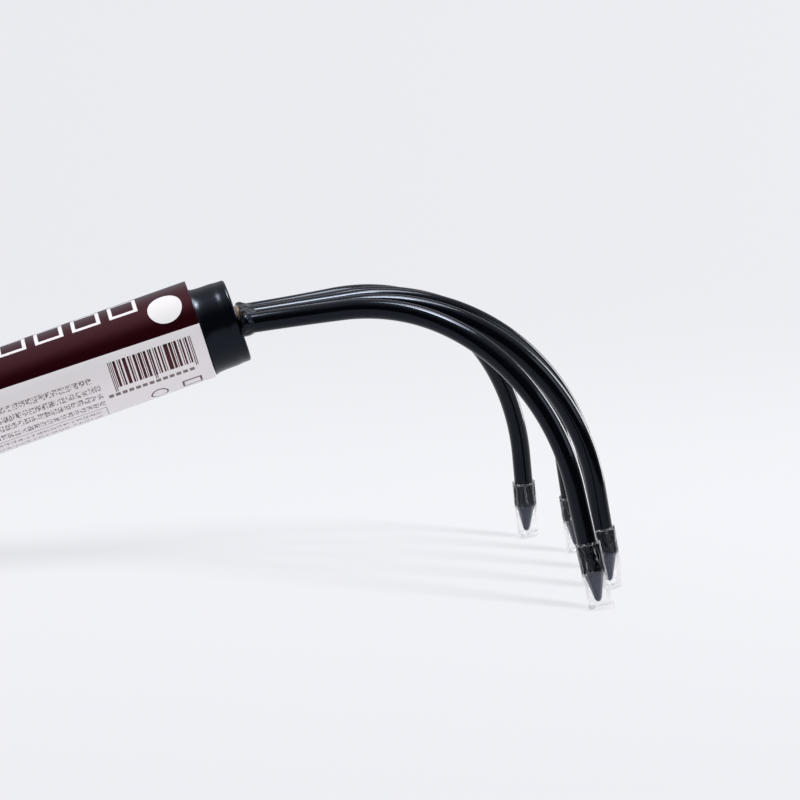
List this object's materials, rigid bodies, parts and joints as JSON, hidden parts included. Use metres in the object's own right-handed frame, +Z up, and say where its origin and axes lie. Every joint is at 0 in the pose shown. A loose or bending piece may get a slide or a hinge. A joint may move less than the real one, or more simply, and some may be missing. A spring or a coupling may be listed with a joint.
{
  "type": "hand cultivator",
  "caption": "Hand cultivator with a turned wooden handle in a paper sleeve, a black ferrule and bent round tines that fan out, each with a clear push-on tip cap.",
  "frame": {"origin": "on the ground, under the middle of the tool's outline as it stands on its capped points and the lower edge of its butt", "axes": "+X along the handle towards the points, +Y to the tool's left, +Z up"},
  "size_m": [0.3146, 0.1122, 0.0893],
  "materials": {
    "handle_wood": "plain turned hardwood",
    "label_paper": "coated paper with a dark red and a pale panel",
    "black_enamel": "gloss black enamel",
    "tan_filler": "dull hardened filler",
    "clear_plastic": "clear soft plastic"
  },
  "bodies": {
    "tool": {"handle": "handle_wood", "label_sleeve": "label_paper", "ferrule": "black_enamel", "tang_filler": "tan_filler", "root_weld": "black_enamel", "tine_left_outer": "black_enamel", "tine_left_inner": "black_enamel", "tine_middle": "black_enamel", "tine_right_inner": "black_enamel", "tine_right_outer": "black_enamel"},
    "cap_left_outer": {"tip_cap_left_outer": "clear_plastic"},
    "cap_left_inner": {"tip_cap_left_inner": "clear_plastic"},
    "cap_middle": {"tip_cap_middle": "clear_plastic"},
    "cap_right_inner": {"tip_cap_right_inner": "clear_plastic"},
    "cap_right_outer": {"tip_cap_right_outer": "clear_plastic"}
  },
  "joints": [
    {"name": "pull_off_left_outer", "type": "slide", "parent": "tool", "child": "cap_left_outer", "axis": [0.1044, 0.063, -0.9925], "range_m": [0, 0.02]},
    {"name": "pull_off_left_inner", "type": "slide", "parent": "tool", "child": "cap_left_inner", "axis": [0.1679, 0.0444, -0.9848], "range_m": [0, 0.02]},
    {"name": "pull_off_middle", "type": "slide", "parent": "tool", "child": "cap_middle", "axis": [0.1736, 0, -0.9848], "range_m": [0, 0.02]},
    {"name": "pull_off_right_inner", "type": "slide", "parent": "tool", "child": "cap_right_inner", "axis": [0.1679, -0.0444, -0.9848], "range_m": [0, 0.02]},
    {"name": "pull_off_right_outer", "type": "slide", "parent": "tool", "child": "cap_right_outer", "axis": [0.2071, -0.125, -0.9703], "range_m": [0, 0.02]}
  ]
}
